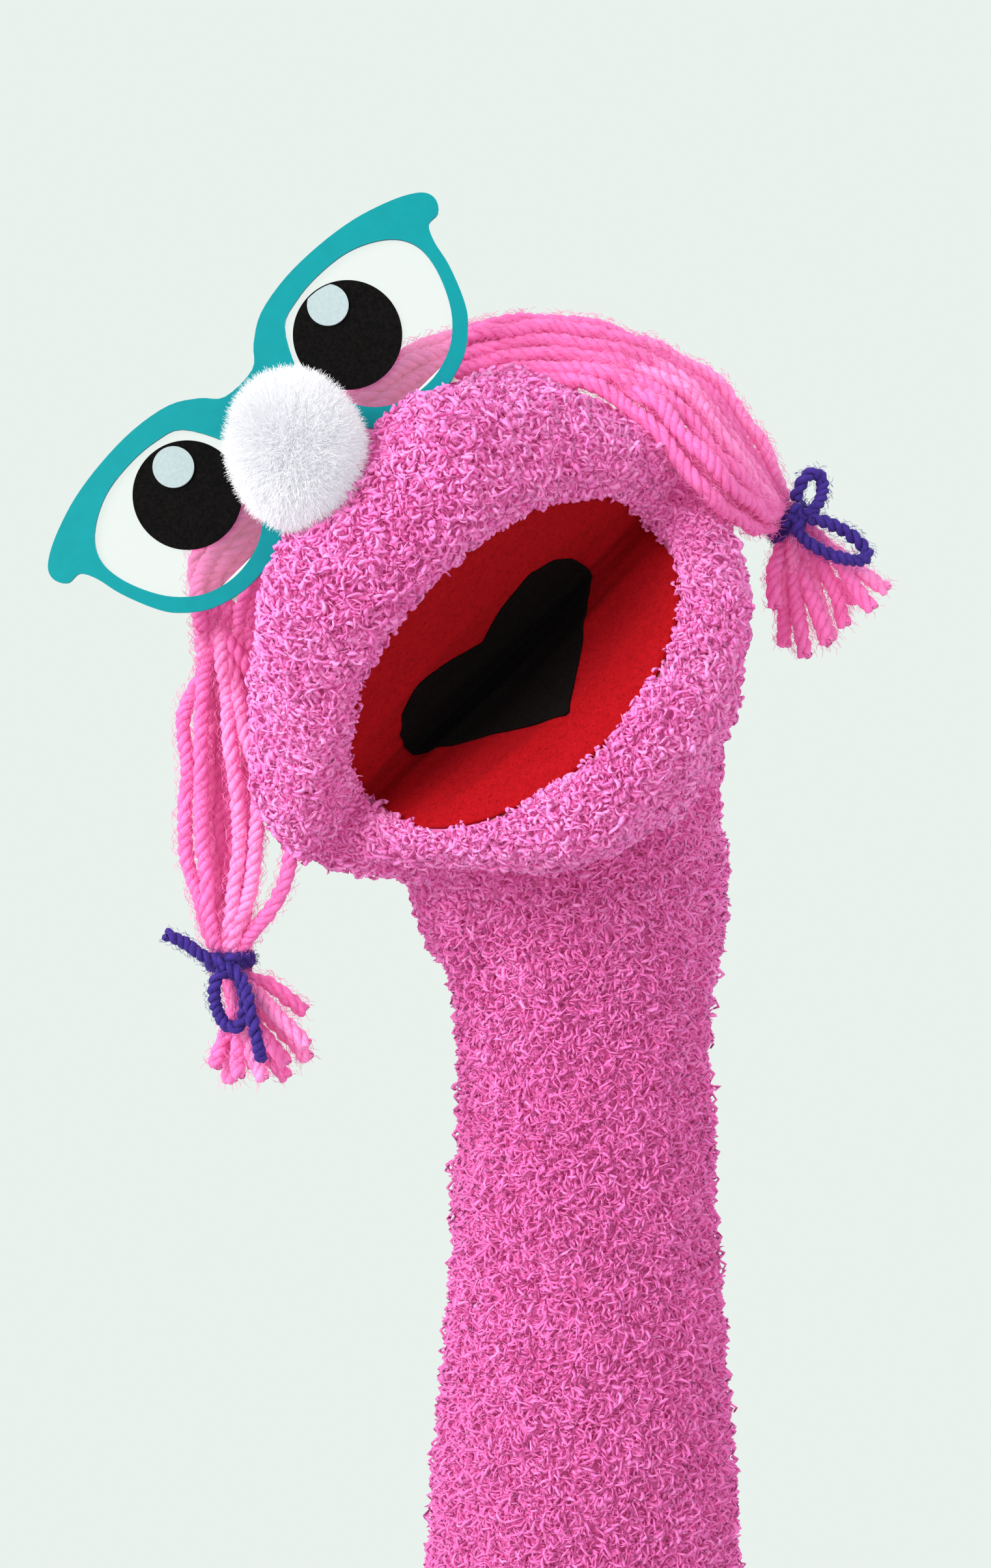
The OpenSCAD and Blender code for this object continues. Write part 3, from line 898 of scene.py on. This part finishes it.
def smooth_path(points, step):
    """A smooth curve through given points, resampled to an even step, in millimetres."""
    p = np.asarray(points, float)
    ends = np.vstack([2 * p[0] - p[1], p, 2 * p[-1] - p[-2]])
    line = []
    for a, b, c, d in zip(ends, ends[1:], ends[2:], ends[3:]):
        for t in np.linspace(0, 1, 24, endpoint=False):
            line.append(0.5 * (2 * b + (c - a) * t + (2 * a - 5 * b + 4 * c - d) * t ** 2
                               + (3 * b - a - 3 * c + d) * t ** 3))
    line = np.vstack([line, p[-1]])
    along = distance_along(line)
    even = np.linspace(0, along[-1], max(4, int(along[-1] / step) + 1))
    return np.column_stack([np.interp(even, along, line[:, k]) for k in range(3)])


def frames_along(path):
    """Two directions across a path that turn with it and don't twist."""
    tangent = normalised(np.gradient(path, axis=0))
    across = np.zeros_like(path)
    across[0] = normalised(np.cross(tangent[0], (0.3, 1, 0.2)))
    for i in range(1, len(path)):
        across[i] = normalised(across[i - 1] - tangent[i] * (across[i - 1] @ tangent[i]))
    return tangent, across, np.cross(tangent, across)


def plied(paths, diameter, pitch, seed, plies=3, sides=7, squeeze=None, bulge=0.12):
    """Points and faces of yarn: plies twisted round each path, each with a slightly uneven girth."""
    local = np.random.default_rng(seed)
    all_points, all_faces, tips, offset = [], [], [], 0
    for index, path in enumerate(paths):
        n = len(path)
        _, a, b = frames_along(path)
        along = distance_along(path)
        girth = np.ones(n) if squeeze is None else squeeze[index]
        loose = (1.3 * np.sin(along / 6.5 + local.uniform(0, 6))
                 + 0.6 * np.sin(along / 2.9 + local.uniform(0, 6)))
        twist = 2 * math.pi * (along + loose) / pitch + local.uniform(0, 6)
        for ply in range(plies):
            angle = twist + 2 * math.pi * ply / plies
            lay = diameter * 0.25 * girth
            centre = path + (lay * np.cos(angle))[:, None] * a + (lay * np.sin(angle))[:, None] * b
            r = diameter * 0.26 * girth * (1 + bulge * np.sin(along * 1.9 + local.uniform(0, 6))
                                           + 0.7 * bulge * np.sin(along * 0.8 + local.uniform(0, 6)))
            _, c, d = frames_along(centre)
            ring_angles = angles_round(sides)
            ring = (centre[:, None] + (r[:, None] * np.cos(ring_angles))[:, :, None] * c[:, None]
                    + (r[:, None] * np.sin(ring_angles))[:, :, None] * d[:, None])
            all_points.append(ring.reshape(-1, 3))
            i, j = np.meshgrid(np.arange(n - 1), np.arange(sides), indexing="ij")
            low, high = i * sides + j, i * sides + (j + 1) % sides
            quads = np.stack([low, high, high + sides, low + sides], -1).reshape(-1, 4)
            all_faces.append(quads + offset)
            for ring_start in (offset, offset + (n - 1) * sides):
                tips.append([ring_start + k for k in (0, 2, 4, 6)])
            offset += n * sides
    return np.vstack(all_points), np.vstack([*all_faces, np.array(tips)])


def fuzz(name, paths, per_mm, diameter, mats, seed, length=2.6):
    """Stray hairs that stand off yarn."""
    local = np.random.default_rng(seed)
    points, normals, runs = [], [], []
    for path in paths:
        t, a, b = frames_along(path)
        n = max(2, int(per_mm * len(path)))
        i = local.integers(0, len(path), n)
        angle = local.uniform(0, 2 * math.pi, n)[:, None]
        out = np.cos(angle) * a[i] + np.sin(angle) * b[i]
        points.append(path[i] + out * diameter * 0.42)
        normals.append(out)
        runs.append(normalised(t[i] * local.choice([-1, 1], n)[:, None] + out * 0.5))
    roots = np.vstack(points)
    lengths = length * local.uniform(0.5, 1.3, len(roots))
    shade = local.integers(0, len(mats), len(roots))
    return fibres(name, roots, np.vstack(runs), np.vstack(normals), lengths, 0.09, mats, segments=2,
                  crimp=0.25, lift=0.3, seed=seed + 1, shade_at=shade)


YARN_D = 4.5
YARN_STEP = 0.9
HANK = [(-40, -8, 69), (-16, -14, 72), (12, -15, 71.5), (40, -10, 68), (62, -2, 57.5), (77.5, 5, 42)]
LEFT_ENDS = [(-105, -56, 236), (-102, -49, 231), (-98, -60, 234), (-95, -50, 236), (-92, -58, 234),
             (-87, -50, 233), (-85, -59, 238), (-80, -53, 239), (-79, -60, 243), (-81, -50, 251)]
RIGHT_ENDS = [(52, -44, 366), (56, -37, 356), (61, -46, 353), (66, -47, 356), (70, -38, 357),
              (74, -38, 361), (80, -43, 366), (84, -42, 371), (63, -33, 359), (77, -34, 369)]
STRANDS = len(LEFT_ENDS)
# How far each strand bows out of the left bunch, and how much each row of the hank hangs to the front.
STRAY = [0, 0, 0, 0, 0, -2, 0, 6, 9, 15]
DRAPE = [1.0, 0.8, 0.5, 0.25, 0.0]
# How the hank's front row hangs, by the number of the point along it.
HANK_HANGS = {5: (0, -8, -1), 6: (2, -19, -3.5)}
# Along each bunch: the share of its length, the spread of its strands and how the front row hangs.
LEFT_SPREAD = ((0.3, 6.6), (0.62, 7.6), (0.88, 7.2))
RIGHT_SPREAD = ((0.12, 2.6, (-11, -31, -5)), (0.5, 2.8, (-11, -34, -13)), (0.8, 2.8, (-6, -18, -10)))


def strand_offsets(i):
    """Where strand i lies in the hank: (across, up) from its middle, five high and two deep."""
    column, row = divmod(i, 5)
    return (-2.2 if column else 2.4), (row - 2) * 3.8 + (1.1 if column else -0.6)


def strand_route(i):
    """The points of one strand, from its left end through both ties to its right end."""
    across, up = strand_offsets(i)
    spin = 2 * math.pi * i / STRANDS
    ring = np.array([math.cos(spin), math.sin(spin), 0])
    wander = 1.3 * math.sin(2.1 * i)
    drape = DRAPE[i % 5]
    down_right = normalised(TIE_RIGHT - ROOT_RIGHT)
    axis_side = np.array([down_right[2], 0, -down_right[0]])
    left, right = np.array(LEFT_ENDS[i]), np.array(RIGHT_ENDS[i])
    gathered = 1.0 if i % 3 == 1 else 3.0
    points = [left, TIE_LEFT + (left - TIE_LEFT) * 0.5 + gathered * ring, TIE_LEFT + gathered * ring]
    for share, spread in LEFT_SPREAD:
        middle = TIE_LEFT + (ROOT_LEFT - TIE_LEFT) * share + (-0.8 * math.sin(math.pi * share), 0, 0)
        points.append(middle + spread * ring * (1, 0.8, 1)
                      + (wander + STRAY[i] * math.sin(math.pi * share), 0, 0))
    hank = from_head(HANK)
    whole = np.vstack([ROOT_LEFT, hank, ROOT_RIGHT])
    run = normalised(np.gradient(whole, axis=0))
    outward = normalised(whole - from_head([(0, 10, 10)])[0])
    outward = normalised(outward - run * np.sum(outward * run, axis=1, keepdims=True))
    sideways = np.cross(run, outward)
    for k in range(1, len(whole) - 1):
        points.append(whole[k] + sideways[k] * (across + wander * math.sin(k * 1.3)) + outward[k] * up
                      + drape * np.array(HANK_HANGS.get(k, (0, 0, 0))))
    for share, spread, hang in RIGHT_SPREAD:
        middle = ROOT_RIGHT + (TIE_RIGHT - ROOT_RIGHT) * share
        middle = middle + np.array([2, 0, 4]) * math.sin(math.pi * share)
        middle = middle + drape * np.array(hang) + (1 - drape) * (1 - share) * np.array([5, 2, 13])
        points.append(middle + spread * (ring[0] * axis_side - ring[1] * 0.8 * FRONT))
    tied = gathered * (ring[0] * axis_side - ring[1] * FRONT)
    points += [TIE_RIGHT + tied, TIE_RIGHT + (right - TIE_RIGHT) * 0.5 + tied * 0.9, right]
    path = smooth_path(points, YARN_STEP)
    loose = np.column_stack([noise_field(path, 24, 300 + 3 * i + k) for k in range(3)])
    at_ties = np.minimum(np.linalg.norm(path - TIE_LEFT, axis=1), np.linalg.norm(path - TIE_RIGHT, axis=1))
    return path + 0.8 * loose * np.clip(at_ties / 14 - 0.4, 0, 1)[:, None]


def nearest(path, place):
    return int(np.argmin(np.linalg.norm(path - place, axis=1)))


routes = [strand_route(i) for i in range(STRANDS)]
# In steps of a strand's path: how far a bunch runs past its root, and how far the hank overlaps it.
PAST_ROOT = 16
OVERLAP = 3


def tied_girth(path, tie):
    return 1 - 0.36 * np.exp(-(np.linalg.norm(path - tie, axis=1) / 7) ** 2)


def yarn_piece(name, paths, girths, seed):
    points, faces = plied(paths, YARN_D, pitch=9.5, squeeze=girths, seed=seed)
    shade = np.random.default_rng(seed).integers(0, len(YARN))
    return make_mesh(name, points, faces, YARN, np.full(len(faces), shade))


left_paths, right_paths, hank_paths = [], [], []
for route in routes:
    at_left, at_right = nearest(route, ROOT_LEFT), nearest(route, ROOT_RIGHT)
    left_paths.append(route[:at_left + PAST_ROOT][::-1])
    right_paths.append(route[at_right - PAST_ROOT:])
    hank_paths.append(route[at_left + PAST_ROOT - OVERLAP:at_right - PAST_ROOT + OVERLAP])

hank = yarn_piece("hair_over_head", hank_paths, None, 71)
hank_fuzz = fuzz("hair_over_head_fuzz", hank_paths, 7, YARN_D, YARN, 72)
for piece in (hank, hank_fuzz):
    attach(piece, "head")
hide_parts("hair_hank")


def bunch(side, paths, tie):
    """A bunch of strands, each a mesh of its own, with stray hairs over them."""
    body = "pigtail_" + side
    strands = []
    for i, path in enumerate(paths):
        strand = yarn_piece(f"{body}_strand_{i + 1}", [path], [tied_girth(path, tie)], 80 + i)
        strands.append(strand)
    hair = fuzz(body + "_fuzz", paths, 7, YARN_D, YARN, 90 + len(side))
    for piece in [*strands, hair]:
        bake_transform(piece)
    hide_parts(body, "tassel_" + side)


bunch("left", left_paths, TIE_LEFT)
bunch("right", right_paths, TIE_RIGHT)

# ---- the purple ties ----

TIE_D = 3.9
TIE_STEP = 0.7
KNOT_AHEAD = 9.2


def wraps(tie, axis, across, turns, radius, start, rise):
    """Points of a few turns round a bunch, on a slow screw."""
    other = np.cross(axis, across)
    steps = int(turns * 12) + 1
    angle = start + np.linspace(0, turns * 2 * math.pi, steps)
    lift = np.linspace(-rise / 2, rise / 2, steps)
    return (tie + radius * (np.cos(angle)[:, None] * across + np.sin(angle)[:, None] * other)
            + lift[:, None] * axis)


def tie_piece(name, path, seed):
    points, faces = plied([path], TIE_D, plies=2, pitch=5.5, sides=8, bulge=0.08, seed=seed)
    return make_mesh(name, points, faces, TIE_YARN)


def tie(side, place, axis, loops, tails):
    """A tie: turns round the bunch, a knot in front, and loops and tails that leave the knot."""
    side_way = np.cross(axis, FRONT)
    turns = wraps(place, axis, side_way, turns=2.2, radius=5.4, start=0.4, rise=3.6)
    knot = [place + FRONT * KNOT_AHEAD + 1.488 * (math.sin(a) + 0.8 * math.sin(2 * a)) * side_way
            + 1.32 * (math.cos(a) - 0.8 * math.cos(2 * a)) * axis - 1.7 * math.sin(3 * a) * FRONT
            for a in np.linspace(0, 2 * math.pi, 26)]
    made = [tie_piece("tie_wraps_" + side, smooth_path(turns, TIE_STEP), 201),
            tie_piece("tie_knotted_" + side, smooth_path(knot, 0.6), 202)]
    for i, loop in enumerate(loops):
        made.append(tie_piece(f"tie_bow_{side}_{i + 1}", smooth_path(loop, TIE_STEP), 203 + i))
    for i, tail in enumerate(tails):
        made.append(tie_piece(f"tie_tail_{side}_{i + 1}", smooth_path(tail, TIE_STEP), 206 + i))
    paths = [smooth_path(points, TIE_STEP) for points in [turns, knot] + loops + tails]
    made.append(fuzz(f"tie_fuzz_{side}", paths, 5, TIE_D, TIE_YARN, 210, 1.8))
    for piece in made:
        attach(piece, "pigtail_" + side)
    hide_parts("tie_wrap_" + side)
    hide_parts("tie_knot_" + side)
    return made


def ring_points(centre, wide, high, tilt, start):
    """Points of a bow's loop in the plane across the view, which starts and ends at the knot."""
    sweep, points = 330, []
    for a in np.linspace(math.radians(start), math.radians(start + sweep), 12):
        x, z = wide * math.cos(a), high * math.sin(a)
        points.append(centre + np.array([x * math.cos(tilt) - z * math.sin(tilt), 0.8 * math.sin(2 * a),
                                         x * math.sin(tilt) + z * math.cos(tilt)]))
    return points


knot_left = TIE_LEFT + FRONT * KNOT_AHEAD
knot_right = TIE_RIGHT + FRONT * KNOT_AHEAD
left_tie = tie("left", TIE_LEFT, np.array([0, 0, 1.0]),
               loops=[ring_points(knot_left + (1.5, -2, -9.5), 4.2, 8, 0.15, 100)],
               tails=[[knot_left, knot_left + (-6, -2, 2.5), knot_left + (-11, -2, 6), (-118, -64, 274.5)],
                      [knot_left + (1, -1, 0), knot_left + (5.5, -3, -5), (-94, -67, 252),
                       (-91.5, -66, 240)]])
right_tie = tie("right", TIE_RIGHT, np.array([-0.66, 0, 0.75]),
                loops=[ring_points(knot_right + (4.4, -1, 6.6), 3.4, 6.2, -0.35, 235),
                       ring_points(knot_right + (10.6, -2, -6.4), 11.0, 3.9, -0.45, 170)],
                tails=[])
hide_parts("tie_loop_left")
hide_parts("tie_tails_left")
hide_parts("tie_loops_right")

# ---- the parts that the frame already has ----

TEAL = plastic_material()
FILM = film_material()
BLACK_CARD = card_material("black_card", (0.002, 0.002, 0.002), (0.006, 0.005, 0.005))
PALE_CARD = card_material("pale_card", (0.34, 0.41, 0.43), (0.39, 0.46, 0.475))
BOARD = card_material("mouth_board", (0.45, 0.38, 0.28), (0.58, 0.50, 0.38))
GLUE = glue_material("hot_glue", (0.92, 0.90, 0.84))
PINK_GLUE = glue_material("glue_soaked_into_yarn", (0.86, 0.30, 0.56))
FINISHES = {"glasses_frame": TEAL, "lens": FILM, "pupil": BLACK_CARD, "highlight": PALE_CARD,
            "mouth_card": BOARD, "glasses_glue": GLUE, "nose_glue": GLUE, "hair_glue": PINK_GLUE}
for name, node in frame["nodes"].items():
    for start, mat in FINISHES.items():
        if name.startswith(start):
            node.data.materials.clear()
            node.data.materials.append(mat)

frame_edge = frame["nodes"]["glasses_frame"].modifiers.new("worn_edge", "BEVEL")
frame_edge.width = 0.3 * MM
frame_edge.segments = 2
frame_edge.limit_method = "ANGLE"

# ---- the ribbed cuff ----

CUFF_RIBS = 54
CUFF_IN_R = 41.3
CUFF_OUT_R = 44.3


def ribbed_cuff():
    """A knitted rib: columns that stand out, with a row of stitches down each."""
    around, up, inner = CUFF_RIBS * 8, 76, 12
    a = angles_round(around)
    z = np.linspace(0.4, CUFF_H, up)
    rib = 0.5 + 0.5 * np.cos(CUFF_RIBS * a)[None]
    stitch = np.abs(np.sin(math.pi * z[:, None] / 2.6 + 2.4 * np.abs(np.sin(CUFF_RIBS * a / 2))[None]))
    edge = np.clip(np.minimum(z, CUFF_H - z) / 2.5, 0, 1)[:, None] ** 0.5
    outer = CUFF_OUT_R - 1.2 * (1 - edge) + rib ** 0.7 * (0.95 + 0.35 * stitch) * edge
    z_in = np.linspace(CUFF_H, 0.4, inner)
    inner_r = CUFF_IN_R + 0.5 * (1 - rib) * np.ones((inner, 1))
    radius = np.vstack([outer, inner_r])
    height = np.concatenate([z, z_in])[:, None] * np.ones((1, around))
    points = np.stack([radius * np.cos(a), radius * np.sin(a), height], -1).reshape(-1, 3)
    rows = up + inner
    i, j = np.meshgrid(np.arange(rows), np.arange(around), indexing="ij")
    k, after = (i + 1) % rows, (j + 1) % around
    faces = np.stack([i * around + j, i * around + after, k * around + after, k * around + j], -1)
    obj = make_mesh("ribbed_cuff", points, faces.reshape(-1, 4), [RIB])
    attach(obj, "sleeve")
    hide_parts("sock_cuff")


RIB = skin_material("cuff_knit", (0.50, 0.075, 0.24), (0.72, 0.17, 0.43), 700)
ribbed_cuff()
